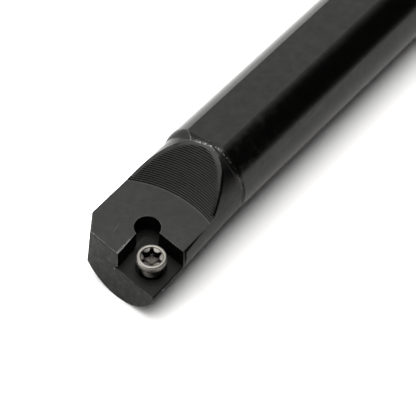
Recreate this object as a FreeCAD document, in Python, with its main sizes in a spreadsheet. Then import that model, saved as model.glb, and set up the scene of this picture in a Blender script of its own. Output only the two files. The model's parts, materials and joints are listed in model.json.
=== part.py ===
import FreeCAD, Part
import Sketcher
import math
import os

# Boring bar for turning: a round steel shank with one clamping flat, and a head
# milled open for a rhombic insert held by one six-lobed screw. No insert is fitted.
# Frame: the origin is the centre of the shank's front end, where the head begins.
# +X runs along the axis towards the head, +Y is the cutting side, +Z is out of the flat.
# The head's top face and the insert seat share one frame, tilted to the front and side.

# Driving dimensions: name, value in millimetres or degrees, and what it measures
SIZES = [
    ("shank_radius", 10.0, "round shank"),
    ("shank_length", 170.0, "from the rear end to the head"),
    ("rear_chamfer", 1.0, "bevel round the rear end"),
    ("flat_depth", 0.9, "clamping flat below the top of the shank"),
    ("front_bevel_length", 0.3, "slight bevel round the shank's front end, along the bar"),
    ("front_bevel_depth", 0.07, "the same bevel, across"),
    ("shoulder_length", 1.3, "rounded shoulder from the shank down to the neck"),
    ("shoulder_depth", 1.0, "how far the shoulder drops below the shank's surface"),
    ("shoulder_round", 1.7, "radius of the shoulder's rounding"),
    ("neck_start", 0.25, "where the head's cone starts, in front of the shank"),
    ("neck_step", 0.33, "head section at the shank, less than the shank's radius"),
    ("neck_aside", -0.05, "its centre, towards the cutting side"),
    ("neck_below", 0.64, "its centre, below the axis"),
    ("head_flare", 0.32, "head section at its far end, more than the shank's radius"),
    ("head_turn_aside", 1.3, "degrees that the head leads to the cutting side"),
    ("head_turn_down", 0.44, "degrees that the head leads downwards"),
    ("head_length", 28.1, "from the shank to the front face, on the axis"),
    ("front_stock", 2.9, "blank in front of the front face"),
    ("front_slant", 6.7, "degrees by which the front face leads to the tip"),
    ("front_lean", 1.5, "degrees by which the front face leads at its foot"),
    ("face_height", 2.8, "head's top face above the axis, at the shank"),
    ("face_drop_front", 3.2, "degrees that the top face falls to the front"),
    ("face_drop_side", 6.1, "degrees that the top face falls to the cutting side"),
    ("gullet_radius", 22.2, "cutter that left the chip gullet"),
    ("gullet_ahead", 3.86, "cutter's centre before the front face, at its first level"),
    ("gullet_aside", 2.4, "cutter's centre towards the cutting side"),
    ("gullet_step", 0.254, "rise from one level to the next"),
    ("gullet_back", 1.46, "step back for each unit of rise"),
    ("rim_bevel", 0.65, "width of the broken edge round the gullet"),
    ("rim_from", -64.0, "degrees from the top of the neck to that edge's back end"),
    ("rim_to", 74.0, "degrees from the top of the neck to its end on the cutting side"),
    ("seat_depth", 4.2, "insert seat below the top face"),
    ("seat_angle", 80.0, "degrees between the seat's two walls"),
    ("seat_lead", 3.5, "degrees from the bar's axis to the long wall"),
    ("wall_lean", 3.0, "degrees by which the walls open upwards"),
    ("corner_back", 9.25, "meeting of the two walls, behind the front face"),
    ("corner_inset", 9.75, "meeting of the two walls, inside the shank's side"),
    ("relief_radius", 2.65, "round relief in the seat's corner"),
    ("relief_ahead", 0.75, "its centre in front of the corner"),
    ("relief_aside", 1.0, "its centre beside the corner"),
    ("undercut_width", 0.3, "groove at the foot of the long wall, behind the corner's line"),
    ("undercut_height", 0.5, "the same groove, up the wall"),
    ("undercut_reach", 0.3, "the same groove, out over the seat's floor"),
    ("undercut_sink", 0.12, "the same groove, below the seat's floor"),
    ("screw_back", 3.95, "screw's axis behind the front face"),
    ("screw_inset", 4.17, "screw's axis inside the shank's side"),
    ("screw_radius", 1.95, "outside of the thread"),
    ("thread_clearance", 0.05, "between the thread and its bore"),
    ("dish_radius", 2.9, "shallow dish round the bore"),
    ("dish_depth", 0.6, "depth of that dish"),
    ("screw_sink", 0.65, "screw's top below the head's top face"),
    ("screw_head_radius", 2.96, "screw's head"),
    ("screw_rim", 1.33, "height of the head's rim"),
    ("screw_round", 0.4, "rounding of the head's upper edge"),
    ("screw_cone", 1.73, "height of the cone under the head"),
    ("screw_length", 9.0, "whole screw"),
    ("screw_tip", 0.45, "bevel at the thread's end"),
    ("lobe_radius", 2.02, "six-lobed recess, at its lobes"),
    ("ridge_radius", 0.8, "rounded ridges between the lobes"),
    ("ridge_centre", 2.25, "their centres from the screw's axis"),
    ("recess_depth", 1.7, "depth of the recess"),
    ("recess_turn", 7.0, "degrees that the recess is turned"),
    ("flank_proud", 0.15, "flank beside the seat, outside the shank's side"),
    ("flank_back", 8.8, "where the flank begins, behind the front face"),
    ("side_bevel_back", 15.5, "where the side edge's bevel begins, behind the front face"),
    ("side_bevel_proud", 0.08, "that bevel's upper edge, outside the shank's side"),
    ("side_bevel_width", 6.0, "width of the tool that cuts that bevel"),
    ("side_bevel_tilt", 45.0, "degrees of that bevel"),
    ("nose_back", 4.3, "start of the head's cut-off corner, behind the front face"),
    ("nose_inset", 0.98, "its distance inside the shank's side"),
    ("nose_angle", 33.8, "degrees from the axis to that cut"),
    ("nose_lean", 2.6, "degrees by which that cut leads at its foot"),
]

# Places that follow from the driving dimensions
PLACES = [
    ("flat_height", "shank_radius - flat_depth", "clamping flat above the axis"),
    ("neck_radius", "shank_radius - neck_step", "head section at the shank"),
    ("head_radius", "shank_radius + head_flare", "head section at its far end"),
    ("blank_length", "head_length + front_stock - neck_start", "the head's cone"),
    ("gullet_centre", "head_length + gullet_ahead", "cutter's centre along the bar"),
    ("corner_along", "head_length - corner_back", "seat's corner along the bar"),
    ("corner_aside", "shank_radius - corner_inset", "seat's corner across the bar"),
    ("screw_along", "head_length - screw_back", "screw's axis along the bar"),
    ("screw_across", "shank_radius - screw_inset", "screw's axis across the bar"),
    ("bore_radius", "screw_radius + thread_clearance", "tapped bore"),
    ("flank_start", "head_length - flank_back", "flank along the bar"),
    ("flank_offset", "shank_radius + flank_proud", "flank across the bar"),
    ("side_bevel_start", "head_length - side_bevel_back", "side bevel along the bar"),
    ("side_bevel_offset", "shank_radius + side_bevel_proud", "side bevel across the bar"),
    ("nose_along", "head_length - nose_back", "cut-off corner along the bar"),
    ("nose_across", "shank_radius - nose_inset", "cut-off corner across the bar"),
]

# How far the cutting tools run past the metal, the recess's lobes, a right angle
RUNOUT = 20.0
LOBES = 6
QUARTER = 90.0

# The cuts that break the gullet's rim, how far each runs into the next as a share of
# its length, and how closely the rim is found
RIM_CUTS = 24
RIM_OVERLAP = 0.12
RIM_ERROR = 1e-4

doc = FreeCAD.newDocument("boring_bar")
sheet = doc.addObject("Spreadsheet::Sheet", "sizes")
derived = [(name, f"={formula}", meaning) for name, formula, meaning in PLACES]
for row, (name, value, meaning) in enumerate(SIZES + derived, start=1):
    sheet.set(f"A{row}", str(value))
    sheet.set(f"B{row}", meaning)
    sheet.setAlias(f"A{row}", name)
doc.recompute()


def size(name):
    """Give a driving dimension from the sheet."""
    return float(sheet.get(name))


def bind(obj, **expressions):
    """Bind an object's properties to expressions on the sheet."""
    for prop, expression in expressions.items():
        obj.setExpression(prop, expression)
    return obj


def at(along="0", across="0", up="0", yaw="0", pitch="0", roll="0"):
    """Write a placement as an expression, turned by yaw, pitch and roll in degrees."""
    return f"placement(vector({along}; {across}; {up}); rotation({yaw}; {pitch}; {roll}))"


# The tilted frame of the top face and the insert seat
FACE_FRAME = at(
    up="sizes.face_height",
    pitch="sizes.face_drop_front",
    roll="-sizes.face_drop_side",
)


def box(name, placement, length, width, height):
    """Make a bound box."""
    obj = doc.addObject("Part::Box", name)
    return bind(obj, Length=length, Width=width, Height=height, Placement=placement)


def cylinder(name, placement, radius, height):
    """Make a bound cylinder."""
    obj = doc.addObject("Part::Cylinder", name)
    return bind(obj, Radius=radius, Height=height, Placement=placement)


def cone(name, placement, bottom, top, height):
    """Make a bound cone."""
    obj = doc.addObject("Part::Cone", name)
    return bind(obj, Radius1=bottom, Radius2=top, Height=height, Placement=placement)


def fuse(name, shapes):
    """Join several solids."""
    obj = doc.addObject("Part::MultiFuse", name)
    obj.Shapes = shapes
    obj.Refine = True
    return obj


def common(name, shapes):
    """Keep what several solids share."""
    obj = doc.addObject("Part::MultiCommon", name)
    obj.Shapes = shapes
    return obj


def cut(name, base, tool):
    """Take one solid out of another."""
    obj = doc.addObject("Part::Cut", name)
    obj.Base = base
    obj.Tool = tool
    obj.Refine = True
    return obj


def sketch_on(body, name, plane):
    """Start a sketch on one of the body's own origin planes."""
    sketch = body.newObject("Sketcher::SketchObject", name)
    origin_plane = next(f for f in body.Origin.OriginFeatures if f.Role == plane)
    sketch.AttachmentSupport = [(origin_plane, "")]
    sketch.MapMode = "FlatFace"
    return sketch


def pin_point(sketch, geometry, end, place, expressions):
    """Hold a sketch point at bound distances from the sketch's origin."""
    for kind, value, expression in zip(("DistanceX", "DistanceY"), place, expressions):
        index = sketch.addConstraint(
            Sketcher.Constraint(kind, -1, 1, geometry, end, value)
        )
        sketch.setExpression(f"Constraints[{index}]", expression)


def outline(sketch, corners, arcs=None):
    """Draw a closed outline of lines, with an arc on the sides named in arcs.

    Each corner is its place and the two expressions that hold it there. Each arc is
    the index of the corner that it starts at, a point on it, and its radius.
    """
    arcs = arcs or {}
    count = len(corners)
    for i, (place, _) in enumerate(corners):
        start = FreeCAD.Vector(*place, 0)
        end = FreeCAD.Vector(*corners[(i + 1) % count][0], 0)
        if i in arcs:
            through = FreeCAD.Vector(*arcs[i][0], 0)
            sketch.addGeometry(Part.Arc(start, through, end), False)
        else:
            sketch.addGeometry(Part.LineSegment(start, end), False)
    ends = []
    for i in range(count):
        # An arc always runs anticlockwise, so its ends may be swapped
        first = sketch.getPoint(i, 1)
        here = FreeCAD.Vector(*corners[i][0], 0)
        ends.append((1, 2) if first.distanceToPoint(here) < 1e-6 else (2, 1))
    for i in range(count):
        nxt = (i + 1) % count
        sketch.addConstraint(
            Sketcher.Constraint("Coincident", i, ends[i][1], nxt, ends[nxt][0])
        )
    for i, (place, expressions) in enumerate(corners):
        pin_point(sketch, i, ends[i][0], place, expressions)
    for i, (_, radius, expression) in arcs.items():
        index = sketch.addConstraint(Sketcher.Constraint("Radius", i, radius))
        sketch.setExpression(f"Constraints[{index}]", expression)


def revolve(body, name, sketch, axis):
    """Turn a sketch once round one of its own axes."""
    turned = body.newObject("PartDesign::Revolution", name)
    turned.Profile = sketch
    turned.ReferenceAxis = (sketch, [axis])
    turned.Angle = 360.0
    return turned


def add_shank(body):
    """Turn the shank, its bevels and the rounded shoulder that leads to the neck."""
    length, radius = size("shank_length"), size("shank_radius")
    rear, bevel = size("rear_chamfer"), size("front_bevel_length")
    reach, arc = size("shoulder_length"), size("shoulder_round")
    top = radius - size("front_bevel_depth")
    low = radius - size("shoulder_depth")
    span = (reach**2 + (top - low) ** 2) ** 0.5
    bulge = arc - (arc**2 - (span / 2) ** 2) ** 0.5
    middle = (
        reach / 2 + bulge * (top - low) / span,
        (top + low) / 2 + bulge * reach / span,
    )
    profile = sketch_on(body, "shank_profile", "XZ_Plane")
    corners = [
        ((-length, 0), ("-sizes.shank_length", "0")),
        ((-length, radius - rear),
         ("-sizes.shank_length", "sizes.shank_radius - sizes.rear_chamfer")),
        ((rear - length, radius),
         ("sizes.rear_chamfer - sizes.shank_length", "sizes.shank_radius")),
        ((-bevel, radius), ("-sizes.front_bevel_length", "sizes.shank_radius")),
        ((0, top), ("0", "sizes.shank_radius - sizes.front_bevel_depth")),
        ((reach, low),
         ("sizes.shoulder_length", "sizes.shank_radius - sizes.shoulder_depth")),
        ((reach, 0), ("sizes.shoulder_length", "0")),
    ]
    outline(profile, corners, {4: (middle, arc, "sizes.shoulder_round")})
    revolve(body, "turned_shank", profile, "H_Axis")


def make_blank():
    """Make the round blank: the shank with the head flaring out of it, off its axis."""
    shank = doc.addObject("PartDesign::Body", "shank")
    add_shank(shank)
    flare = cone(
        "flared_head",
        at("sizes.neck_start", "sizes.neck_aside", "-sizes.neck_below",
           "sizes.head_turn_aside", f"{QUARTER} + sizes.head_turn_down"),
        "sizes.neck_radius", "sizes.head_radius", "sizes.blank_length",
    )
    return fuse("blank", [shank, flare])


def make_flat_tool():
    """Clear the clamping flat, along the shank and over its shoulder."""
    return box(
        "flat_tool",
        at(f"-sizes.shank_length - {RUNOUT}", f"-{RUNOUT}", "sizes.flat_height"),
        f"sizes.shank_length + sizes.shoulder_length + {RUNOUT}",
        f"{2 * RUNOUT}",
        "sizes.shank_radius",
    )


def make_gullet_tool():
    """Stack the cutter's levels on the head's top face: each is one step up and back.

    The top level runs on upwards, to clear what is left above the head's far end.
    """
    levels = []
    rise = size("shank_radius") - size("face_height")
    top = int(rise / size("gullet_step")) + 1
    for i in range(top + 1):
        lifted = f"({i} * sizes.gullet_step)"
        place = at(f"sizes.gullet_centre - {lifted} * sizes.gullet_back",
                   "sizes.gullet_aside", lifted)
        levels.append(cylinder(
            f"gullet_level_{i + 1}", f"{FACE_FRAME} * {place}",
            "sizes.gullet_radius",
            "sizes.shank_radius" if i == top else "sizes.gullet_step",
        ))
    return fuse("gullet_tool", levels)


def rim_point(turn):
    """Find the gullet's rim at a turn round the neck, and the two outward normals there.

    The neck's surface is followed forward to where it meets the gullet's sloping wall:
    the cutter's circle, which moves back with the height above the head's top face.
    """
    neck = FreeCAD.Placement(
        FreeCAD.Vector(size("neck_start"), size("neck_aside"), -size("neck_below")),
        FreeCAD.Rotation(size("head_turn_aside"), QUARTER + size("head_turn_down"), 0),
    )
    face = FreeCAD.Placement(
        FreeCAD.Vector(0, 0, size("face_height")),
        FreeCAD.Rotation(0, size("face_drop_front"), -size("face_drop_side")),
    )
    flare = (size("head_radius") - size("neck_radius")) / size("blank_length")
    back, reach = size("gullet_back"), size("gullet_radius")
    angle = math.radians(turn)
    outward = FreeCAD.Vector(-math.cos(angle), math.sin(angle), 0)
    near, far = 0.0, size("head_length")
    while far - near > RIM_ERROR:
        along = (near + far) / 2
        radius = size("neck_radius") + flare * along
        point = neck * (outward * radius + FreeCAD.Vector(0, 0, along))
        on_face = face.inverse() * point
        from_axis = FreeCAD.Vector(
            on_face.x - size("gullet_centre") + back * on_face.z,
            on_face.y - size("gullet_aside"), 0,
        )
        if from_axis.Length > reach:
            near = along
        else:
            far = along
    neck_normal = neck.Rotation * (outward - FreeCAD.Vector(0, 0, flare))
    from_axis.normalize()
    wall_normal = face.Rotation * -FreeCAD.Vector(from_axis.x, from_axis.y,
                                                  back * from_axis.x)
    return point, neck_normal.normalize(), wall_normal.normalize()


def make_rim_tools():
    """Break the gullet's rim: a row of short flat cuts, each square to the edge's middle."""
    turns = [size("rim_from") + (size("rim_to") - size("rim_from")) * i / RIM_CUTS
             for i in range(RIM_CUTS + 1)]
    rim = [rim_point(turn) for turn in turns]
    cuts = []
    for i, (here, there) in enumerate(zip(rim, rim[1:]), start=1):
        point = (here[0] + there[0]) / 2
        along = there[0] - here[0]
        length = along.Length * (1 + 2 * RIM_OVERLAP)
        neck_normal, wall_normal = here[1] + there[1], here[2] + there[2]
        half_angle = neck_normal.getAngle(wall_normal) / 2
        normal = (neck_normal.normalize() + wall_normal.normalize()).normalize()
        across = normal.cross(along).normalize()
        depth = size("rim_bevel") / 2 * math.tan(half_angle)
        corner = (point - normal * depth - along * (0.5 + RIM_OVERLAP)
                  - across * size("rim_bevel"))
        tool = doc.addObject("Part::Box", f"rim_cut_{i}")
        tool.Length = length
        tool.Placement = FreeCAD.Placement(
            corner, FreeCAD.Rotation(along, across, normal, "ZXY")
        )
        cuts.append(bind(tool, Width="2 * sizes.rim_bevel", Height="2 * sizes.rim_bevel"))
    return cuts


def make_seat_tool():
    """Clear the insert seat: above its floor, and in front of its two leaning walls."""
    corner = at("sizes.corner_along", "sizes.corner_aside")
    floor_slab = box(
        "seat_floor",
        f"{FACE_FRAME} * {at(f'-{RUNOUT}', f'-{RUNOUT}', '-sizes.seat_depth')}",
        f"{4 * RUNOUT}", f"{3 * RUNOUT}", f"{RUNOUT}",
    )
    long_side = box(
        "seat_long_wall",
        f"{FACE_FRAME} * {corner} * {at(yaw='sizes.seat_lead', roll='sizes.wall_lean')}"
        f" * {at(f'-{RUNOUT}', '0', f'-{RUNOUT}')}",
        f"{3 * RUNOUT}", f"{2 * RUNOUT}", f"{2 * RUNOUT}",
    )
    back_turn = at(yaw=f"sizes.seat_lead + sizes.seat_angle - {QUARTER}",
                   pitch="-sizes.wall_lean")
    back_side = box(
        "seat_back_wall",
        f"{FACE_FRAME} * {corner} * {back_turn} * {at('0', f'-{RUNOUT}', f'-{RUNOUT}')}",
        f"{2 * RUNOUT}", f"{3 * RUNOUT}", f"{2 * RUNOUT}",
    )
    return common("seat_tool", [floor_slab, long_side, back_side])


def make_relief_tool():
    """Bore the round relief that keeps the insert's far corner clear."""
    return cylinder(
        "relief_tool",
        f"{FACE_FRAME} * " + at(
            "sizes.corner_along + sizes.relief_ahead",
            "sizes.corner_aside + sizes.relief_aside",
            "-sizes.seat_depth"),
        "sizes.relief_radius",
        f"{RUNOUT}",
    )


def make_undercut_tool():
    """Run a small groove along the foot of the seat's long wall, and into its floor."""
    corner = at("sizes.corner_along", "sizes.corner_aside",
                "-sizes.seat_depth - sizes.undercut_sink")
    return box(
        "undercut_tool",
        f"{FACE_FRAME} * {corner} * {at(yaw='sizes.seat_lead')}"
        f" * {at(across='-sizes.undercut_width')}",
        f"{RUNOUT}",
        "sizes.undercut_width + sizes.undercut_reach",
        "sizes.undercut_height + sizes.undercut_sink",
    )


def make_bore_tool():
    """Bore the screw's hole: a shallow dish, and the tapped bore right through the head."""
    tapped = cylinder(
        "tapped_bore",
        f"{FACE_FRAME} * "
        + at("sizes.screw_along", "sizes.screw_across", f"-{RUNOUT}"),
        "sizes.bore_radius", f"{RUNOUT}",
    )
    dish = cylinder(
        "bore_dish",
        f"{FACE_FRAME} * "
        + at("sizes.screw_along", "sizes.screw_across",
             "-sizes.seat_depth - sizes.dish_depth"),
        "sizes.dish_radius",
        "sizes.dish_depth + sizes.seat_depth",
    )
    return fuse("bore_tool", [tapped, dish])


def make_front_tools():
    """Square off the head: its front face, cut-off corner, flank and side bevel."""
    front = box(
        "front_tool",
        at("sizes.head_length", yaw="-sizes.front_slant", pitch="-sizes.front_lean")
        + f" * {at('0', f'-{RUNOUT}', f'-{RUNOUT}')}",
        f"{RUNOUT}", f"{2 * RUNOUT}", f"{2 * RUNOUT}",
    )
    corner = box(
        "corner_tool",
        f"{FACE_FRAME} * "
        + at("sizes.nose_along", "-sizes.nose_across",
             yaw="sizes.nose_angle", roll="-sizes.nose_lean")
        + f" * {at(f'-{RUNOUT}', f'-{RUNOUT}', f'-{RUNOUT}')}",
        f"{2 * RUNOUT}", f"{RUNOUT}", f"{2 * RUNOUT}",
    )
    flank = box(
        "flank_tool",
        at("sizes.flank_start", "sizes.flank_offset", f"-{RUNOUT}"),
        f"{2 * RUNOUT}", f"{RUNOUT}", f"{2 * RUNOUT}",
    )
    bevel = box(
        "side_bevel_tool",
        f"{FACE_FRAME} * "
        + at("sizes.side_bevel_start", "sizes.side_bevel_offset",
             roll="-sizes.side_bevel_tilt")
        + f" * {at('0', '-sizes.side_bevel_width / 2', '0')}",
        f"{RUNOUT}", "sizes.side_bevel_width", "sizes.side_bevel_width",
    )
    return [front, corner, flank, bevel]


def make_bar():
    """Cut the blank to the finished bar."""
    cleared = cut("bar_with_flat", make_blank(), make_flat_tool())
    opened = cut("bar_with_gullet", cleared, make_gullet_tool())
    for i, tool in enumerate(make_rim_tools(), start=1):
        opened = cut(f"bar_with_rim_{i}", opened, tool)
    faced = cut("bar_faced", opened, fuse("front_tools", make_front_tools()))
    seat = fuse("seat_tools", [
        make_seat_tool(), make_relief_tool(), make_undercut_tool(), make_bore_tool(),
    ])
    return cut("bar_body", faced, seat)


def make_recess_tool():
    """Make the six-lobed recess: a round pocket with six rounded ridges left in it."""
    pocket = cylinder(
        "recess_pocket", at(up="-sizes.recess_depth"),
        "sizes.lobe_radius", f"{RUNOUT}",
    )
    ridges = []
    for i in range(LOBES):
        turn = f"sizes.recess_turn + {i * 4 * QUARTER / LOBES}"
        ridges.append(cylinder(
            f"recess_ridge_{i + 1}",
            f"{at(yaw=turn)} * {at('sizes.ridge_centre', up=f'-{RUNOUT}')}",
            "sizes.ridge_radius", f"{2 * RUNOUT}",
        ))
    return cut("recess_tool", pocket, fuse("recess_ridges", ridges))


def make_screw():
    """Turn the insert screw, with its origin at the centre of its head's top."""
    body = doc.addObject("PartDesign::Body", "screw_blank")
    head, rounding = size("screw_head_radius"), size("screw_round")
    rim, taper = size("screw_rim"), size("screw_cone")
    thread, length, tip = size("screw_radius"), size("screw_length"), size("screw_tip")
    middle = (head - rounding * (1 - 0.5**0.5), -rounding * (1 - 0.5**0.5))
    profile = sketch_on(body, "screw_profile", "XZ_Plane")
    corners = [
        ((0, 0), ("0", "0")),
        ((0, -length), ("0", "-sizes.screw_length")),
        ((thread - tip, -length),
         ("sizes.screw_radius - sizes.screw_tip", "-sizes.screw_length")),
        ((thread, tip - length),
         ("sizes.screw_radius", "sizes.screw_tip - sizes.screw_length")),
        ((thread, -rim - taper),
         ("sizes.screw_radius", "-sizes.screw_rim - sizes.screw_cone")),
        ((head, -rim), ("sizes.screw_head_radius", "-sizes.screw_rim")),
        ((head, -rounding), ("sizes.screw_head_radius", "-sizes.screw_round")),
        ((head - rounding, 0), ("sizes.screw_head_radius - sizes.screw_round", "0")),
    ]
    outline(profile, corners, {6: (middle, rounding, "sizes.screw_round")})
    revolve(body, "turned_screw", profile, "V_Axis")
    screw = cut("insert_screw", body, make_recess_tool())
    seated = at("sizes.screw_along", "sizes.screw_across", "-sizes.screw_sink")
    return bind(screw, Placement=f"{FACE_FRAME} * {seated}")


def check(parts):
    """Stop if any object failed, or a sub-part's shape is empty or not valid."""
    for obj in doc.Objects:
        if "Invalid" in obj.State or "Error" in obj.State:
            raise RuntimeError(f"{obj.Name} failed: {obj.State}")
    for part in parts:
        if part.Shape.isNull() or not part.Shape.isValid():
            raise RuntimeError(f"{part.Label} has no valid shape")
        if len(part.Shape.Solids) != 1:
            raise RuntimeError(f"{part.Label} is {len(part.Shape.Solids)} solids")


parts = [make_bar(), make_screw()]
doc.recompute()
check(parts)
os.makedirs("parts", exist_ok=True)
for part in parts:
    part.Shape.exportStep(f"parts/{part.Label}.step")
    bounds = part.Shape.BoundBox
    print(part.Label, round(part.Shape.Volume, 2), bounds)
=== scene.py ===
"""Boring bar with its insert screw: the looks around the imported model, as a Blender add-on.

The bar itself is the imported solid, and gets a blackened steel finish with worn edges. The
plain screw is replaced by one with a thread and a dished six-lobed recess.
"""

import json
import math
from types import SimpleNamespace

import bpy
import numpy as np
from bpy.props import FloatProperty, FloatVectorProperty, IntProperty, PointerProperty
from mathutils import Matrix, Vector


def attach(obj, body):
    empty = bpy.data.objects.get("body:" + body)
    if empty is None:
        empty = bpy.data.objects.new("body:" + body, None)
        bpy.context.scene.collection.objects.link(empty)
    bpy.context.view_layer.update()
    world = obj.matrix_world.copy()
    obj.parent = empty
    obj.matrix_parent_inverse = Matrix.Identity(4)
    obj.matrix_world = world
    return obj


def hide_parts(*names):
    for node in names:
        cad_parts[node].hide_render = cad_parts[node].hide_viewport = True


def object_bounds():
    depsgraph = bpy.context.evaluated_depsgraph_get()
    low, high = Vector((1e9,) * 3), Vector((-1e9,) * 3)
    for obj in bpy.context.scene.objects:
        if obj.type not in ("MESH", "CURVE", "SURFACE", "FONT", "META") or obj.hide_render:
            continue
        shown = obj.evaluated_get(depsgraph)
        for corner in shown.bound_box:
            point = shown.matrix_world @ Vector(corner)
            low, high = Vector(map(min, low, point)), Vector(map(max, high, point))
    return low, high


bl_info = {
    "name": "Boring bar",
    "version": (1, 0, 0),
    "blender": (4, 5, 0),
    "location": "3D View > Sidebar > Boring bar",
    "description": "Dresses a boring bar and its insert screw, and sets up its studio",
    "category": "Object",
}

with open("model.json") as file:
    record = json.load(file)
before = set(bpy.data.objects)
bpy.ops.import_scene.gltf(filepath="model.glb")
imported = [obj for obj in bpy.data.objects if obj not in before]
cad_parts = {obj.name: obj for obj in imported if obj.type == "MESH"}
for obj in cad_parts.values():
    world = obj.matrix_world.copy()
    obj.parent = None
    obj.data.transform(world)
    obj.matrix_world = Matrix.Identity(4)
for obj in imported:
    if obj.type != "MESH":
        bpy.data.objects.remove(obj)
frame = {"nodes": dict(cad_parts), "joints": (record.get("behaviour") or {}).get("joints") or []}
CAD_BOX = [list(map(float, corner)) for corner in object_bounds()]
MM = 0.001

# The head's top face is square to the screw's axis. These are its height over the shank's
# front end and the angles by which it falls to the front and to the cutting side.
SCREW_AXIS = frame["joints"][0]["axis"]
FACE_ORIGIN = np.array([0.0, 0.0, 2.8])
FACE_FRONT = math.atan2(SCREW_AXIS[0], SCREW_AXIS[2])
FACE_SIDE = math.asin(SCREW_AXIS[1])

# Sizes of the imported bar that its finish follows, in millimetres and radians
SHANK_RADIUS = 10.0
HEAD_LENGTH = 28.1
FRONT_SLANT = math.radians(6.7)
FRONT_LEAN = math.radians(1.5)
GULLET_RADIUS = 22.2
GULLET_CENTRE = HEAD_LENGTH + 3.86
GULLET_ASIDE = 2.4
GULLET_BACK = 1.46
SEAT_DEPTH = 4.2
SEAT_BACK = HEAD_LENGTH - 11.1
SEAT_SIDE = -1.5
SIDE_EDGE = SHANK_RADIUS - 0.5
SIDE_BEVEL_START = HEAD_LENGTH - 15.5
NOSE_START = HEAD_LENGTH - 4.3
NOSE_ASIDE = SHANK_RADIUS - 0.98
NOSE_ANGLE = math.radians(33.8)

# The screw head's mouth, where its recess opens, and the foot of its upright side
MOUTH_RADIUS = 2.2
SIDE_FOOT = 1.3

OFF = (0.0, 0.0, 0.0, 1.0)
WHITE = (1.0, 1.0, 1.0, 1.0)


# Shader maths


class Value:
    """A number or colour that varies over a surface: a socket with Python's operators."""

    def __init__(self, nodes, socket):
        self.nodes = nodes
        self.socket = socket

    def math(self, operation, *values):
        """Add a Math node that works on one or two numbers."""
        settings = {"operation": operation}
        return self.nodes.add("ShaderNodeMath", settings, dict(enumerate(values)))

    def __add__(self, other):
        return self.math("ADD", self, other)

    def __radd__(self, other):
        return self.math("ADD", other, self)

    def __sub__(self, other):
        return self.math("SUBTRACT", self, other)

    def __rsub__(self, other):
        return self.math("SUBTRACT", other, self)

    def __mul__(self, other):
        return self.math("MULTIPLY", self, other)

    def __rmul__(self, other):
        return self.math("MULTIPLY", other, self)

    def __neg__(self):
        return self.math("MULTIPLY", self, -1.0)

    def __abs__(self):
        return self.math("ABSOLUTE", self)

    def most(self, other):
        """The larger of two numbers."""
        return self.math("MAXIMUM", self, other)

    def root(self):
        """Its square root."""
        return self.math("SQRT", self)

    def rise(self, low, high):
        """0 below low and 1 above high, with a smooth step between."""
        return self.nodes.add(
            "ShaderNodeMapRange",
            {"interpolation_type": "SMOOTHSTEP"},
            {"Value": self, "From Min": low, "From Max": high},
        )

    def fall(self, low, high):
        """1 below low and 0 above high."""
        return 1.0 - self.rise(low, high)

    def between(self, low, high, soft):
        """1 from low to high, and 0 from a soft edge's width outside them."""
        return self.rise(low - soft, low) * self.fall(high, high + soft)

    def near(self, place, full, gone):
        """1 up to one distance from a place and 0 from another on."""
        return abs(self - place).fall(full, gone)


class Nodes:
    """The nodes of one material or world."""

    def __init__(self, tree):
        self.tree = tree
        tree.nodes.clear()

    def add(self, kind, settings=None, inputs=None, output=0):
        """Add a node: its settings, its sockets' values or links, and the output to give."""
        node = self.tree.nodes.new(kind)
        for name, value in (settings or {}).items():
            setattr(node, name, value)
        for name, value in (inputs or {}).items():
            if isinstance(value, Value):
                self.tree.links.new(value.socket, node.inputs[name])
            else:
                node.inputs[name].default_value = value
        return Value(self, node.outputs[output]) if node.outputs else None

    def split(self, vector):
        """Split a vector into its three numbers."""
        parts = self.add("ShaderNodeSeparateXYZ", inputs={0: vector})
        return [Value(self, socket) for socket in parts.socket.node.outputs]

    def dot(self, vector, other):
        """The dot product of two vectors."""
        settings = {"operation": "DOT_PRODUCT"}
        return self.add("ShaderNodeVectorMath", settings, {0: vector, 1: other}, output="Value")

    def vector(self, x, y, z):
        """Join three numbers into a vector."""
        return self.add("ShaderNodeCombineXYZ", inputs={"X": x, "Y": y, "Z": z})

    def place(self):
        """The place on the piece as a vector in millimetres."""
        at = self.add("ShaderNodeTexCoord", output="Object")
        settings = {"operation": "SCALE"}
        return self.add("ShaderNodeVectorMath", settings, {0: at, "Scale": 1 / MM})

    def noise(self, vector, scale, detail=3.0, roughness=0.5):
        """Fractal noise from 0 to 1."""
        return self.add(
            "ShaderNodeTexNoise",
            inputs={"Vector": vector, "Scale": scale, "Detail": detail, "Roughness": roughness},
        )

    def mix(self, factor, first, second):
        """Mix two colours."""
        inputs = {0: factor, 6: first, 7: second}
        return self.add("ShaderNodeMix", {"data_type": "RGBA"}, inputs, output=2)

    def bump(self, height, strength):
        """Tip the surface's normal by a height of up to 0.02 mm."""
        inputs = {"Strength": strength, "Distance": 0.02 * MM, "Height": height}
        return self.add("ShaderNodeBump", inputs=inputs)


def distance(*offsets):
    """How far a point is from a place, from its offset along each axis."""
    total = offsets[0] * offsets[0]
    for offset in offsets[1:]:
        total = total + offset * offset
    return total.root()


def opaque(colour, share=1.0):
    """A colour scaled by a share, as a socket takes it."""
    return tuple(part * share for part in colour) + (1.0,)


def new_material(name):
    """Start an empty node material."""
    material = bpy.data.materials.new(name)
    material.use_nodes = True
    return material, Nodes(material.node_tree)


def finish_material(nodes, **sockets):
    """End a material with one Principled BSDF, its sockets named with _ for a space."""
    inputs = {name.replace("_", " "): value for name, value in sockets.items()}
    surface = nodes.add("ShaderNodeBsdfPrincipled", inputs=inputs)
    nodes.add("ShaderNodeOutputMaterial", inputs={"Surface": surface})


# Mesh work


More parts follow.
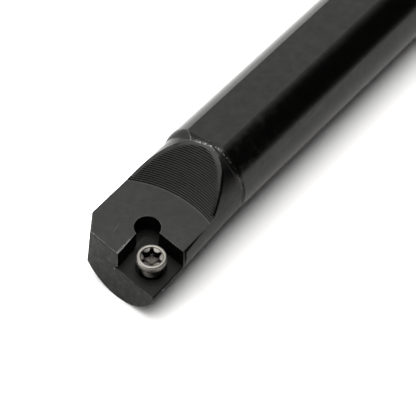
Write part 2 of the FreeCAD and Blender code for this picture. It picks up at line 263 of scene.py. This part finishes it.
def add_mesh(name, points, faces, material, smooth=True):
    """Make an object at the origin from an array of points in millimetres."""
    mesh = bpy.data.meshes.new(name)
    mesh.from_pydata((points * MM).tolist(), [], faces)
    mesh.polygons.foreach_set("use_smooth", [smooth] * len(mesh.polygons))
    mesh.update()
    piece = bpy.data.objects.new(name, mesh)
    bpy.context.scene.collection.objects.link(piece)
    mesh.materials.append(material)
    return piece


def closed_skin(rows, first_pole, last_pole):
    """Points and faces of a skin round an axis: rows of points closed by a pole at each end.

    rows has the shape (rows, columns, 3). Face j of a row joins columns j and j + 1, and the
    last column joins the first again.
    """
    count, columns, _ = rows.shape
    points = np.vstack([rows.reshape(-1, 3), first_pole, last_pole])
    index = np.arange(count * columns).reshape(count, columns)
    right = np.roll(index, -1, axis=1)
    quads = np.stack([index[:-1], index[1:], right[1:], right[:-1]], axis=-1).reshape(-1, 4)
    start = np.full(columns, count * columns)
    end = start + 1
    first_cap = np.stack([start, index[0], right[0]], axis=-1)
    last_cap = np.stack([end, right[-1], index[-1]], axis=-1)
    return points, quads.tolist() + first_cap.tolist() + last_cap.tolist()


def face_axes():
    """The head's top face in the bar's frame: columns along it, across it and out of it."""
    front_cos = math.cos(FACE_FRONT)
    front_sin = math.sin(FACE_FRONT)
    side_cos = math.cos(FACE_SIDE)
    side_sin = math.sin(FACE_SIDE)
    roll = np.array([[1, 0, 0], [0, side_cos, side_sin], [0, -side_sin, side_cos]])
    pitch = np.array([[front_cos, 0, front_sin], [0, 1, 0], [-front_sin, 0, front_cos]])
    return pitch @ roll


def face_to_bar(points):
    """Turn points from the head's tilted top face into the bar's own frame."""
    return points @ face_axes().T + FACE_ORIGIN


def on_face(nodes, place):
    """A surface point in the tilted face's frame: along it, across it and above it."""
    axes = face_axes()
    start = FACE_ORIGIN @ axes
    return [nodes.dot(place, tuple(axes[:, i])) - float(start[i]) for i in range(3)]


def fit_circle(points):
    """The centre and the radius of the circle that points in a plane lie on.

    A point p on the circle has 2 c.p + (r^2 - c.c) = p.p for its centre c and radius r, which
    is solved for c and the bracket by least squares.
    """
    terms = np.column_stack([2 * points, np.ones(len(points))])
    solved = np.linalg.lstsq(terms, (points**2).sum(axis=1), rcond=None)[0]
    along, across, bracket = solved.tolist()
    return along, across, math.sqrt(bracket + along**2 + across**2)


def measure_screw():
    """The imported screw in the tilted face's frame, to a thousandth of a millimetre.

    Its widest points lie on its head's rim, and give its axis and its head's radius.
    """
    mesh = frame["nodes"]["insert_screw"].data
    points = np.empty(len(mesh.vertices) * 3, np.float32)
    mesh.vertices.foreach_get("co", points)
    on_axes = (points.reshape(-1, 3) / MM - FACE_ORIGIN) @ face_axes()
    low = on_axes.min(axis=0)
    high = on_axes.max(axis=0)
    offsets = on_axes - (low + high) / 2
    from_middle = np.hypot(offsets[:, 0], offsets[:, 1])
    rim = on_axes[from_middle > 0.999 * from_middle.max(), :2]
    along, across, head = fit_circle(rim)
    return SimpleNamespace(
        along=round(along, 3),
        across=round(across, 3),
        sink=round(float(-high[2]), 3),
        head=round(head, 3),
        length=round(float(high[2] - low[2]), 3),
    )


PACKED_SCREW = measure_screw()


# Settings


class ScrewSettings(bpy.types.PropertyGroup):
    """Sizes of the insert screw, in millimetres."""

    along: FloatProperty(
        name="Along", description="Axis along the head's top face", default=PACKED_SCREW.along
    )
    across: FloatProperty(
        name="Across", description="Axis across that face", default=PACKED_SCREW.across
    )
    sink: FloatProperty(
        name="Sink", description="Top below that face", default=PACKED_SCREW.sink, min=0.0
    )
    head: FloatProperty(
        name="Head", description="Radius of the head", default=PACKED_SCREW.head, min=1.0
    )
    length: FloatProperty(
        name="Length", description="Whole screw", default=PACKED_SCREW.length, min=4.0
    )
    lobe: FloatProperty(name="Lobes", description="Recess radius at its lobes", default=2.06)
    depth: FloatProperty(name="Recess depth", description="Depth of the recess", default=2.1)
    thread: FloatProperty(name="Thread", description="Radius of the thread's crest", default=1.93)
    pitch: FloatProperty(name="Pitch", description="Rise of the thread in one turn", default=0.7)
    columns: IntProperty(name="Columns", description="Points round the screw", default=192)
    steel: FloatVectorProperty(
        name="Steel", description="Colour of the bright steel", subtype="COLOR",
        default=(0.21, 0.20, 0.18), min=0.0, max=1.0,
    )
    # Painted shade: the near-black colour painted into the recess, round its mouth and under the
    # head.
    painted_recess_shade: FloatVectorProperty(
        name="Grime", description="Colour of the dirt in the recess", subtype="COLOR",
        default=(0.012, 0.010, 0.008), min=0.0, max=1.0,
    )


class BarSettings(bpy.types.PropertyGroup):
    """The bar's finish."""

    black: FloatVectorProperty(
        name="Black", description="Reflection of the blackened steel", subtype="COLOR",
        default=(0.032, 0.032, 0.0303), min=0.0, max=1.0,
    )
    worn: FloatVectorProperty(
        name="Worn", description="Reflection of steel worn bare", subtype="COLOR",
        default=(0.62, 0.61, 0.59), min=0.0, max=1.0,
    )
    scratched: FloatVectorProperty(
        name="Scratched", description="Reflection of the front face's scratches", subtype="COLOR",
        default=(0.60, 0.615, 0.64), min=0.0, max=1.0,
    )
    # Painted shade: the near-black colour painted into grooves, corners and the screw's dish.
    crease_shade: FloatVectorProperty(
        name="Soot", description="Reflection of the dirt in grooves and corners", subtype="COLOR",
        default=(0.002, 0.002, 0.002), min=0.0, max=1.0,
    )
    grazing: FloatVectorProperty(
        name="Grazing", description="Tint of the reflection at a flat angle", subtype="COLOR",
        default=(0.7, 0.7, 0.7), min=0.0, max=1.0,
    )
    roughness: FloatProperty(
        name="Roughness", description="Roughness of the finish", default=0.13, min=0.0, max=1.0
    )


class StudioSettings(bpy.types.PropertyGroup):
    """Camera, floor and light."""

    place: FloatVectorProperty(
        name="Camera", description="Where the camera stands", subtype="TRANSLATION",
        unit="LENGTH", default=(0.234568, 0.178100, 0.298315),
    )
    azimuth: FloatProperty(
        name="Azimuth", description="Side that the camera looks from", subtype="ANGLE",
        default=math.radians(37.0625),
    )
    elevation: FloatProperty(
        name="Elevation", description="Height that the camera looks from", subtype="ANGLE",
        default=math.radians(46.3369),
    )
    lens: FloatProperty(
        name="Lens", description="Focal length on a 36 mm sensor", default=184.026, min=1.0
    )
    white: FloatProperty(name="White", description="Light of the white tent", default=1.45)
    top: FloatProperty(name="Top", description="Light straight overhead", default=5.0)
    wall: FloatProperty(name="Wall", description="Light of the tent's low wall", default=2.5)
    dark: FloatProperty(name="Dark", description="Light of the dark room", default=0.04)
    roof: FloatProperty(
        name="Roof", description="How far the tent's roof reaches out for its height",
        default=0.5,
    )
    floor: FloatVectorProperty(
        name="Floor", description="Colour of the floor in the tent", subtype="COLOR",
        default=(0.93, 0.925, 0.915), min=0.0, max=1.0,
    )
    # Painted shade: the floor's colour is darkened outside the tent, where the light falls off.
    shaded_far_floor: FloatVectorProperty(
        name="Far floor", description="Colour of the floor outside the tent", subtype="COLOR",
        default=(0.06, 0.06, 0.06), min=0.0, max=1.0,
    )
    glow: FloatProperty(
        name="Glow", description="Light from the floor at the tent's wall", default=1.7, min=0.0
    )


# Insert screw


def lobed_radius(angle, lobe, ridge=0.8, centre=2.25, turn=math.radians(7.0)):
    """Radius of the six-lobed recess at each angle.

    The outline is the circle of the lobes, less six round ridges. A ray at an angle a from a
    ridge's centre line meets the ridge at c cos a - sqrt(r^2 - c^2 sin^2 a). Past the ridge's
    side the outline goes back to the circle, and a smooth minimum rounds the corner.
    """
    step = math.pi / 3
    a = (angle - turn + step / 2) % step - step / 2
    inside = ridge**2 - (centre * np.sin(a)) ** 2
    hit = centre * np.cos(a) - np.sqrt(np.maximum(inside, 0.0))
    hit = np.where(inside > 0, hit, lobe - inside * 2.0)
    soft = 0.09
    near = np.clip(0.5 + 0.5 * (lobe - hit) / soft, 0, 1)
    return lobe + (hit - lobe) * near - soft * near * (1 - near)


def skin_row(angle, radius, height):
    """One row of a skin round the screw's axis, from a radius and a height at each angle."""
    level = height + 0 * angle
    return np.stack([radius * np.cos(angle), radius * np.sin(angle), level], axis=-1)


def recess_rows(s, angle):
    """The recess from its floor out: a dished floor, a wall, a countersunk mouth and its rim.

    The floor's radius is a share t of the lobed outline, and it deepens with (1 - t)^1.3. The
    wall is the outline, widening straight with height. Across the mouth the outline turns
    into a circle and rises in step with its radius. The rim is a quarter of an ellipse.
    """
    dish = 0.22
    floor_share = 0.97
    wall_flare = 0.012
    wall_top = 0.52
    mouth_share = 1.014
    mouth_fall = 0.36
    mouth_width = 0.8
    mouth_step = 0.04
    rim_width = 0.28
    rim_height = 0.12
    lobes = lobed_radius(angle, s.lobe)
    upper = lobes * mouth_share
    rows = []
    for t in np.linspace(0.12, 1.0, 10):
        rows.append(skin_row(angle, lobes * t * floor_share, -s.depth - dish * (1 - t) ** 1.3))
    for z in np.linspace(-s.depth + 0.05, -wall_top, 14):
        rows.append(skin_row(angle, lobes * (1 + wall_flare * (z + s.depth)), z))
    for t in np.linspace(0.0, 1.0, 8):
        mouth = upper + (MOUTH_RADIUS - upper) * t
        fallen = mouth_fall * np.clip((MOUTH_RADIUS - mouth) / mouth_width, 0, 1)
        rows.append(skin_row(angle, mouth, -rim_height - fallen - mouth_step * (1 - t)))
    for a in np.linspace(0.0, math.pi / 2, 7)[1:]:
        radius = MOUTH_RADIUS + rim_width * (1 - math.cos(a))
        rows.append(skin_row(angle, radius, -rim_height * (1 - math.sin(a))))
    return rows


def head_rows(s, angle):
    """The head from its top out and down: a quarter circle, an upright side and a cone."""
    crown = 0.42
    cone_top = SIDE_FOOT + 0.06
    cone_height = 1.72
    cone_radius = s.head - 0.03
    neck = 1.6
    rows = []
    for a in np.linspace(0.0, math.pi / 2, 14):
        radius = s.head - crown + crown * math.sin(a)
        rows.append(skin_row(angle, radius, -crown + crown * math.cos(a)))
    for z in np.linspace(-0.5, -SIDE_FOOT, 6):
        rows.append(skin_row(angle, s.head, z))
    for t in np.linspace(0.0, 1.0, 12):
        radius = cone_radius - t * (cone_radius - neck)
        rows.append(skin_row(angle, radius, -cone_top - t * cone_height))
    return rows


def thread_rows(s, angle):
    """The thread, fading in under the cone and out at the tip, and the screw's blunt end.

    The radius follows a blunt triangle wave of the phase height / pitch - angle / full turn,
    so that the crest is a helix. It fades with the root of the distance from either end.
    """
    top = 3.1
    rows_per_turn = 14
    thread_depth = 0.40
    fade_in = 0.35
    fade_out = 0.6
    root = s.thread - thread_depth
    rows = []
    for z in np.arange(-top, -s.length + 0.3, -s.pitch / rows_per_turn):
        phase = (z / s.pitch - angle / (2 * math.pi)) % 1.0
        wave = np.clip(1.5 * (1 - abs(2 * phase - 1)) - 0.22, 0, 1)
        fade = min(1.0, (-top - z) / fade_in, (z + s.length - 0.1) / fade_out)
        rows.append(skin_row(angle, root + thread_depth * wave * max(fade, 0.0) ** 0.5, z))
    rows.append(skin_row(angle, root * 0.96, -s.length + 0.05))
    rows.append(skin_row(angle, root * 0.80, -s.length))
    return rows


def screw_skin(s):
    """The screw's skin in one piece, from the recess's floor round the head to the tip."""
    angle = np.linspace(0, 2 * math.pi, s.columns, endpoint=False)
    rows = recess_rows(s, angle) + head_rows(s, angle) + thread_rows(s, angle)
    recess_pole = np.array([[0.0, 0.0, -s.depth - 0.24]])
    tip_pole = np.array([[0.0, 0.0, -s.length]])
    return closed_skin(np.array(rows), recess_pole, tip_pole)


def screw_shade_mask(s, radius, below):
    """How much painted shade darkens the screw, from its radius and the depth below its top.

    The painted shade is thick in the recess and thinner on its floor, and lies in the ring round
    the mouth, on the foot of the head's side and under the head.
    """
    in_recess = radius.fall(MOUTH_RADIUS - 0.08, MOUTH_RADIUS) * below.rise(0.48, 0.6)
    on_floor = below.rise(s.depth - 0.12, s.depth - 0.02)
    ring = radius.rise(MOUTH_RADIUS - 0.08, MOUTH_RADIUS - 0.02)
    ring = ring * radius.fall(MOUTH_RADIUS, MOUTH_RADIUS + 0.1) * below.fall(0.2, 0.3)
    side = below.rise(0.6, 1.2) * radius.rise(s.head - 0.16, s.head - 0.06)
    under = below.rise(SIDE_FOOT - 0.05, SIDE_FOOT + 0.2) * (0.8 - below.rise(3.0, 4.4) * 0.5)
    thick = in_recess * (0.97 - on_floor * 0.45)
    return thick.most(ring * 0.7).most(side * 0.3).most(under)


def bright_steel(s):
    """Turned dark-bright steel: warm, satin, with turning lines, and painted shade in the recess and
    under the head.
    """
    material, nodes = new_material("bright_steel")
    place = nodes.place()
    along, across, above = on_face(nodes, place)
    radius = distance(along - s.along, across - s.across)
    below = -above - s.sink
    lines = nodes.noise(nodes.vector(radius, below, 0.0), scale=14.0)
    blotch = nodes.noise(place, scale=1.6, detail=4.0, roughness=0.6)
    fine = nodes.noise(place, scale=7.0, detail=3.0, roughness=0.6)
    cloudy = blotch.rise(0.35, 0.75) * 0.45 + fine * 0.2
    colour = nodes.mix(cloudy, opaque(s.steel), opaque(s.steel, 0.55))
    finish_material(
        nodes,
        # Painted shade darkens the recess, the ring round its mouth and the head's underside.
        Base_Color=nodes.mix(screw_shade_mask(s, radius, below), colour, opaque(s.painted_recess_shade)),
        Metallic=1.0,
        Roughness=0.3 + blotch * 0.16,
        Normal=nodes.bump(lines, 0.25),
    )
    return material


# Bar


class Surface:
    """Where a point lies on the bar, as numbers in millimetres, and the noises on it."""

    def __init__(self, nodes):
        self.nodes = nodes
        self.place = nodes.place()
        self.x, self.y, self.z = nodes.split(self.place)
        self.along, self.across, self.above = on_face(nodes, self.place)
        # How far past the front face, above the seat's floor and outside the gullet's cutter
        leaning = self.x - self.y * math.tan(FRONT_SLANT) + self.z * math.tan(FRONT_LEAN)
        self.past_front = leaning - HEAD_LENGTH
        self.above_seat = self.above + SEAT_DEPTH
        self.past_cutter = distance(
            self.along - GULLET_CENTRE + self.above * GULLET_BACK, self.across - GULLET_ASIDE
        ) - GULLET_RADIUS
        in_front = self.x.rise(SEAT_BACK, SEAT_BACK + 0.3)
        self.over_seat = in_front * self.across.rise(SEAT_SIDE - 0.1, SEAT_SIDE + 0.1)
        self.fine = self.noise(scale=5.0, detail=5.0, roughness=0.6)
        self.broad = self.noise(scale=0.35, detail=4.0, roughness=0.55)
        self.patches = self.noise(scale=0.8, detail=5.0, roughness=0.65)

    def noise(self, scale, detail, roughness):
        """Fractal noise from 0 to 1 over the bar."""
        return self.nodes.noise(self.place, scale, detail, roughness)

    def spot(self, x, y, z, full, gone):
        """1 up to one distance round a point and 0 from another on."""
        return distance(self.x - x, self.y - y, self.z - z).fall(full, gone)


def machined_surfaces(at):
    """Masks of the surfaces that the cuts left, 1 on each and 0 elsewhere."""
    gullet_end = HEAD_LENGTH - 10.1
    foot_back = HEAD_LENGTH - 8.1
    flank = SHANK_RADIUS - 0.18
    in_gullet = at.x.fall(gullet_end, gullet_end + 0.5)
    on_top = at.above.near(0.0, 0.03, 0.06)
    over_rim = at.past_cutter.rise(0.3, 0.45) * at.past_cutter.fall(1.0, 1.3)
    beside_top = at.above.rise(-1.2, -1.0) * at.above.fall(-0.1, -0.04)
    front_of_bevel = at.x.rise(SIDE_BEVEL_START - 0.1, SIDE_BEVEL_START + 0.4)
    under_seat = at.above_seat.rise(-0.8, -0.6) * at.above_seat.fall(0.1, 0.2)
    front = at.past_front.rise(-0.12, -0.04)
    return SimpleNamespace(
        front=front,
        neck=at.x.rise(0.3, 1.2) * (1.0 - front),
        top_face=on_top * at.x.rise(4.0, 5.0),
        ramp=at.above.rise(0.03, 0.1) * at.past_cutter.fall(0.45, 0.6) * in_gullet,
        rim=at.above.rise(0.1, 0.2) * over_rim * in_gullet,
        runout=on_top * at.past_cutter.rise(-0.65, -0.1) * in_gullet,
        seat=at.above_seat.near(0.0, 0.08, 0.16) * at.over_seat,
        side_bevel=at.across.rise(SIDE_EDGE, SIDE_EDGE + 0.1) * beside_top * front_of_bevel,
        seat_foot=at.y.rise(flank, flank + 0.1) * under_seat * at.x.rise(foot_back, foot_back + 0.5),
    )


def sharp_edges(at, cuts):
    """Bare steel where an edge is sharp, none on the ramp's fine steps and in the seat.

    The occlusion inside the solid finds the edges: it is dark close under them.
    """
    occlusion = at.nodes.add(
        "ShaderNodeAmbientOcclusion", {"inside": True, "samples": 6},
        {"Distance": 0.25 * MM}, output="AO",
    )
    inside_walls = at.across.fall(SIDE_EDGE - 0.3, SIDE_EDGE - 0.1) * at.past_front.fall(-0.5, -0.3)
    in_seat = at.above_seat.fall(0.2, 0.5) * at.over_seat * inside_walls
    by_front = at.x.rise(HEAD_LENGTH - 6.1, HEAD_LENGTH - 2.1)
    handled = by_front * at.across.fall(0.6, 1.0) * at.above.rise(-1.0, -0.3)
    shoulder = at.x.rise(-0.6, -0.4) * at.x.fall(0.8, 1.2)
    edge = ((1.0 - occlusion) * (0.55 + at.fine * 0.9)).rise(0.34, 0.62)
    worn = edge * at.broad.rise(0.3, 0.62) * (0.22 + handled * 0.3)
    return worn * (1.0 - cuts.ramp) * (1.0 - in_seat) * (1.0 - shoulder * 0.9)


def rubbed_edges(at):
    """Thin rubbed lines along the head's cut-off corner and the seat's long wall."""
    wall_edge = 0.52
    off_nose = (at.y + NOSE_ASIDE) * math.cos(NOSE_ANGLE)
    off_nose = off_nose - (at.x - NOSE_START) * math.sin(NOSE_ANGLE)
    at_nose = at.x.rise(NOSE_START - 2.3, NOSE_START + 0.2) * at.above.rise(-0.2, -0.1)
    at_wall = at.x.rise(HEAD_LENGTH - 5.1, HEAD_LENGTH - 3.6) * at.above.rise(-0.15, -0.05)
    nose = off_nose.fall(0.12, 0.34) * at_nose
    wall = at.across.near(wall_edge, 0.1, 0.3) * at_wall
    return nose.most(wall) * at.fine.rise(0.35, 0.6)


def past_flat_end(at):
    """How far a point is past the ragged line that ends the flat, where it leaves the shank."""
    line_start = 0.42
    line_corner = 3.0
    slanted = (line_corner - at.y).most(0.0) * 0.2
    return at.x - line_start - slanted - (at.broad - 0.5) * 0.9


def chips(at, cuts):
    """Chips along the flat's end, on the shoulder below it and on the gullet's rim."""
    chipped = at.noise(scale=2.6, detail=4.0, roughness=0.7).rise(0.47, 0.6)
    ragged = past_flat_end(at).near(0.0, 0.08, 0.26)
    ragged = ragged * (at.y + at.z * 0.1).rise(-2.6, -1.4) * at.z.rise(3.0, 4.6)
    shoulder_edge = -0.25
    low = at.x.near(shoulder_edge, 0.05, 0.2) * at.z.rise(-2.6, -2.2) * at.z.fall(0.4, 0.8)
    rim_chipped = at.noise(scale=3.1, detail=3.0, roughness=0.6).rise(0.6, 0.68)
    rim = cuts.rim * rim_chipped * at.z.rise(5.0, 6.0)
    on_shoulder = low * chipped * at.y.rise(5.0, 6.0)
    return (ragged * chipped * 0.3).most(on_shoulder * 0.14).most(rim * 0.12)


def knocks(at):
    """Two knocked corners of the head: the seat's on the front face, and the tip's foot."""
    seat_corner = at.spot(HEAD_LENGTH, -0.25, -3.6, full=0.12, gone=0.3)
    tip_foot = at.spot(HEAD_LENGTH - 1.7, SHANK_RADIUS + 0.1, -4.4, full=0.15, gone=0.4)
    return (seat_corner * at.fine.rise(0.35, 0.65) * 0.3).most(tip_foot * at.fine * 0.6)


def far_line(at):
    """The bright line that closes the flat on the far side, slanting over the neck."""
    flat_side = -3.95
    across_line = at.x * 0.8 - (at.y - flat_side) * 0.6
    return across_line.near(0.0, 0.04, 0.14) * at.x.between(0.0, 1.4, 0.2) * at.z.rise(7.0, 7.5)


def face_scratch(at):
    """One short scratch on the top face, beside the seat."""
    middle = HEAD_LENGTH - 4.7
    aside = -3.35
    off_line = at.across - aside - (at.along - middle) * 0.12
    on_top = at.above.rise(-0.1, -0.05)
    return off_line.near(0.0, 0.03, 0.16) * at.along.near(middle, 0.9, 1.3) * on_top * at.fine


def front_scratches(at):
    """Fine scratches over the front face in two directions: noise drawn out along each."""
    vector = at.nodes.vector
    one_way = vector(0.0, at.y * 6.0 + at.z * 4.0, at.y * 0.5 - at.z * 0.6)
    other_way = vector(3.0, at.y * 0.4 + at.z * 0.5, at.y * 5.0 - at.z * 7.0)
    first = at.nodes.noise(one_way, scale=1.0, detail=2.0).rise(0.60, 0.72)
    second = at.nodes.noise(other_way, scale=1.0, detail=2.0).rise(0.62, 0.74)
    return first.most(second) * at.broad.rise(0.35, 0.6)


def bare_steel(at, cuts):
    """How much bare steel shows through: worn edges, chips, knocks and lines."""
    worn = sharp_edges(at, cuts).most(rubbed_edges(at) * 0.13) * (1.0 - cuts.seat_foot)
    return worn.most(chips(at, cuts)).most(knocks(at)).most(far_line(at) * 0.1)


def crease_shade(at, cuts, settings):
    """Painted shade, almost black: grooves, corners, the screw's dish and a line under the front
    face's top edge.
    """
    heel_line = 0.14
    back_line = 0.1
    heel = at.x.near(heel_line, 0.08, 0.26) * at.z.fall(2.6, 3.6) * at.y.rise(3.0, 4.0)
    back = at.x.near(back_line, 0.08, 0.2) * at.y.fall(-4.6, -4.0) * at.z.rise(3.0, 4.0)
    from_screw = distance(at.along - settings.along, at.across - settings.across)
    round_bore = from_screw.fall(settings.head + 0.04, settings.head + 0.19)
    dish = round_bore * at.above_seat.fall(0.1, 0.2)
    under_edge = cuts.front * at.above.rise(-0.6, -0.5) * at.above.fall(-0.16, -0.08)
    lines = (cuts.rim * at.y.rise(6.2, 7.2)).most(heel * 0.85).most(back * 0.7)
    return lines.most(dish * 0.85).most(cuts.seat_foot * 0.9).most(under_edge * 0.8)


def head_shade_share(at, cuts):
    """How much darker than the shank each surface of the head is painted, as painted shade."""
    past_end = past_flat_end(at).fall(-0.1, 0.1)
    flat_end = at.x.rise(-0.05, 0.1) * past_end * at.z.rise(7.5, 8.0)
    far_shoulder = at.x.rise(0.0, 0.2) * at.x.fall(3.0, 6.0) * at.y.fall(-4.0, -3.0)
    share = cuts.front.most(cuts.seat).most(cuts.rim * 0.4).most(cuts.top_face * 0.2)
    share = share.most(cuts.side_bevel * 0.9).most(flat_end * 0.75)
    return share.most(far_shoulder * 0.9).most(cuts.neck * 0.35)


def bar_roughness(at, cuts, wear, base):
    """Roughness: lowest on the shank, which handling has dulled in patches by the head."""
    handling = at.noise(scale=0.5, detail=3.0, roughness=0.55).rise(0.3, 0.75)
    near_head = at.x.rise(-26.0, -4.0) * at.z.rise(2.0, 6.0) * at.y.rise(3.0, 5.0)
    rough = base + at.fine * 0.06 + at.patches.rise(0.5, 0.7) * 0.04
    rough = rough + handling * (0.03 + near_head * 0.1) + wear * 0.2
    return rough + cuts.front * 0.2 + cuts.seat * 0.14 + cuts.ramp * 0.12 + cuts.neck * 0.16


def blackened_steel(settings, screw):
    """Blackened ground steel: dark satin, worn bright along its edges.

    The black is cloudy and has fine pores. Over it lie the painted shade of the head's surfaces,
    the painted shade in grooves and corners, the scratches and the bare steel, in that order.
    """
    material, nodes = new_material("blackened_steel")
    at = Surface(nodes)
    cuts = machined_surfaces(at)
    wear = bare_steel(at, cuts)
    # Half the black: the colour of the random patches and of the painted shade on the head.
    half_black = opaque(settings.black, 0.5)
    pores = at.noise(scale=9.0, detail=2.0, roughness=0.6).rise(0.3, 0.7)
    cloudy = at.broad.rise(0.3, 0.7) * 0.3 + pores * 0.3
    colour = nodes.mix(cloudy, opaque(settings.black), opaque(settings.black, 1.5))
    colour = nodes.mix(at.patches.rise(0.4, 0.62) * 0.22 * (1.0 - cuts.ramp), colour, half_black)
    # Painted shade: the head's front face, seat, far shoulder, neck and other surfaces are darkened
    # in the colour.
    colour = nodes.mix(head_shade_share(at, cuts), colour, half_black)
    # Painted shade in grooves, corners and the screw's dish.
    colour = nodes.mix(crease_shade(at, cuts, screw), colour, opaque(settings.crease_shade))
    rubbed = front_scratches(at) * 0.09 + at.patches.rise(0.4, 0.65) * 0.022
    colour = nodes.mix(cuts.front * rubbed, colour, opaque(settings.scratched))
    bare = wear + cuts.runout * 0.035 + face_scratch(at) * 0.06
    finish_material(
        nodes,
        Base_Color=nodes.mix(bare, colour, opaque(settings.worn)),
        Metallic=1.0,
        Roughness=bar_roughness(at, cuts, wear, settings.roughness),
        Specular_Tint=opaque(settings.grazing),
        Normal=nodes.bump(at.fine, 0.3),
    )
    return material


# Studio


def add_floor(settings):
    """Lay a pale floor at the bar's lowest point.

    It glows where the tent's lit wall stands behind the bar, and its colour is painted dark, as
    painted shade, outside the tent on the cutting side, past what the camera sees.
    """
    material, nodes = new_material("pale_floor")
    _, y, _ = nodes.split(nodes.place())
    tent_edge = 60.0
    dark_from = 180.0
    wall_side = 6.0
    wall_foot = 30.0
    outside = y.rise(tent_edge, dark_from)
    by_wall = (-y).rise(wall_side, wall_foot)
    finish_material(
        nodes,
        # Painted shade: the floor's colour turns dark outside the tent.
        Base_Color=nodes.mix(outside, opaque(settings.floor), opaque(settings.shaded_far_floor)),
        Roughness=0.9,
        Emission_Color=nodes.mix(by_wall, OFF, WHITE),
        Emission_Strength=settings.glow,
    )
    low = CAD_BOX[0][2] / MM
    side = 2500.0
    corners = np.array([
        [-side, -side, low], [side, -side, low], [side, side, low], [-side, side, low],
    ])
    add_mesh("floor", corners, [(0, 1, 2, 3)], material, smooth=False)


def set_world(settings):
    """White tent, brighter overhead, and open to a dark room on the bar's cutting side."""
    world = bpy.data.worlds.new("studio")
    bpy.context.scene.world = world
    world.use_nodes = True
    nodes = Nodes(world.node_tree)
    _, side, up = nodes.split(nodes.add("ShaderNodeTexCoord", output="Generated"))
    # side and up are the sines of a direction's angles. The tent's roof ends at a straight
    # edge that runs along the bar.
    open_side = (side - up * settings.roof).rise(-0.04, 0.06)
    overhead = up.rise(0.86, 0.95)
    low_wall = (-side).rise(0.25, 0.6) * up.fall(0.45, 0.62)
    strength = (
        settings.white * (1.0 - open_side)
        + settings.dark * open_side
        + (settings.top - settings.white) * overhead
        + (settings.wall - settings.white) * low_wall
    )
    light = nodes.add("ShaderNodeBackground", inputs={"Color": WHITE, "Strength": strength})
    nodes.add("ShaderNodeOutputWorld", inputs={"Surface": light})


def add_camera(settings):
    """Stand the camera where the picture was taken from."""
    data = bpy.data.cameras.new("camera")
    data.sensor_width = 36.0
    data.lens = settings.lens
    data.clip_start = 0.01
    data.clip_end = 20.0
    camera = bpy.data.objects.new("camera", data)
    bpy.context.scene.collection.objects.link(camera)
    camera.location = settings.place
    camera.rotation_euler = (
        math.pi / 2 - settings.elevation, 0.0, settings.azimuth + math.pi / 2,
    )
    bpy.context.scene.camera = camera


# Operators and panel


class BORING_BAR_OT_finish_bar(bpy.types.Operator):
    """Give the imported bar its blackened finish"""

    bl_idname = "boring_bar.finish_bar"
    bl_label = "Finish the bar"

    def execute(self, context):
        """Dress the bar's node."""
        material = blackened_steel(context.scene.boring_bar, context.scene.insert_screw)
        bar = frame["nodes"]["bar_body"]
        bar.data.materials.clear()
        bar.data.materials.append(material)
        return {"FINISHED"}


class BORING_BAR_OT_add_screw(bpy.types.Operator):
    """Replace the plain screw by one with a thread and a dished six-lobed recess"""

    bl_idname = "boring_bar.add_screw"
    bl_label = "Add the insert screw"

    def execute(self, context):
        """Build the screw's skin and set it on the screw's body."""
        settings = context.scene.insert_screw
        points, faces = screw_skin(settings)
        top = np.array([settings.along, settings.across, -settings.sink])
        piece = add_mesh("screw", face_to_bar(points + top), faces, bright_steel(settings))
        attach(piece, "screw")
        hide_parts("insert_screw")
        return {"FINISHED"}


class BORING_BAR_OT_set_studio(bpy.types.Operator):
    """Set the pale floor, the soft light and the camera"""

    bl_idname = "boring_bar.set_studio"
    bl_label = "Set the studio"

    def execute(self, context):
        """Build the floor, the world and the camera."""
        settings = context.scene.studio
        context.scene.view_settings.view_transform = "Standard"
        add_floor(settings)
        set_world(settings)
        add_camera(settings)
        return {"FINISHED"}


class BORING_BAR_PT_panel(bpy.types.Panel):
    """Lists the steps that dress the bar"""

    bl_idname = "BORING_BAR_PT_panel"
    bl_label = "Boring bar"
    bl_space_type = "VIEW_3D"
    bl_region_type = "UI"
    bl_category = "Boring bar"

    def draw(self, context):
        """Draw the settings and the buttons."""
        for step, group in STEPS:
            box = self.layout.box()
            box.operator(step.bl_idname)
            settings = getattr(context.scene, group)
            for name in settings.bl_rna.properties.keys():
                if name not in ("rna_type", "name"):
                    box.prop(settings, name)


STEPS = (
    (BORING_BAR_OT_finish_bar, "boring_bar"),
    (BORING_BAR_OT_add_screw, "insert_screw"),
    (BORING_BAR_OT_set_studio, "studio"),
)
GROUPS = {
    "boring_bar": BarSettings,
    "insert_screw": ScrewSettings,
    "studio": StudioSettings,
}
CLASSES = (*GROUPS.values(), *(step for step, _ in STEPS), BORING_BAR_PT_panel)


def register():
    """Register the classes and the scene's settings."""
    for cls in CLASSES:
        bpy.utils.register_class(cls)
    for name, group in GROUPS.items():
        setattr(bpy.types.Scene, name, PointerProperty(type=group))


def unregister():
    """Take them out again."""
    for name in GROUPS:
        delattr(bpy.types.Scene, name)
    for cls in reversed(CLASSES):
        bpy.utils.unregister_class(cls)


def main():
    """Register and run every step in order."""
    register()
    bpy.ops.boring_bar.finish_bar()
    bpy.ops.boring_bar.add_screw()
    bpy.ops.boring_bar.set_studio()


if __name__ == "__main__":
    main()
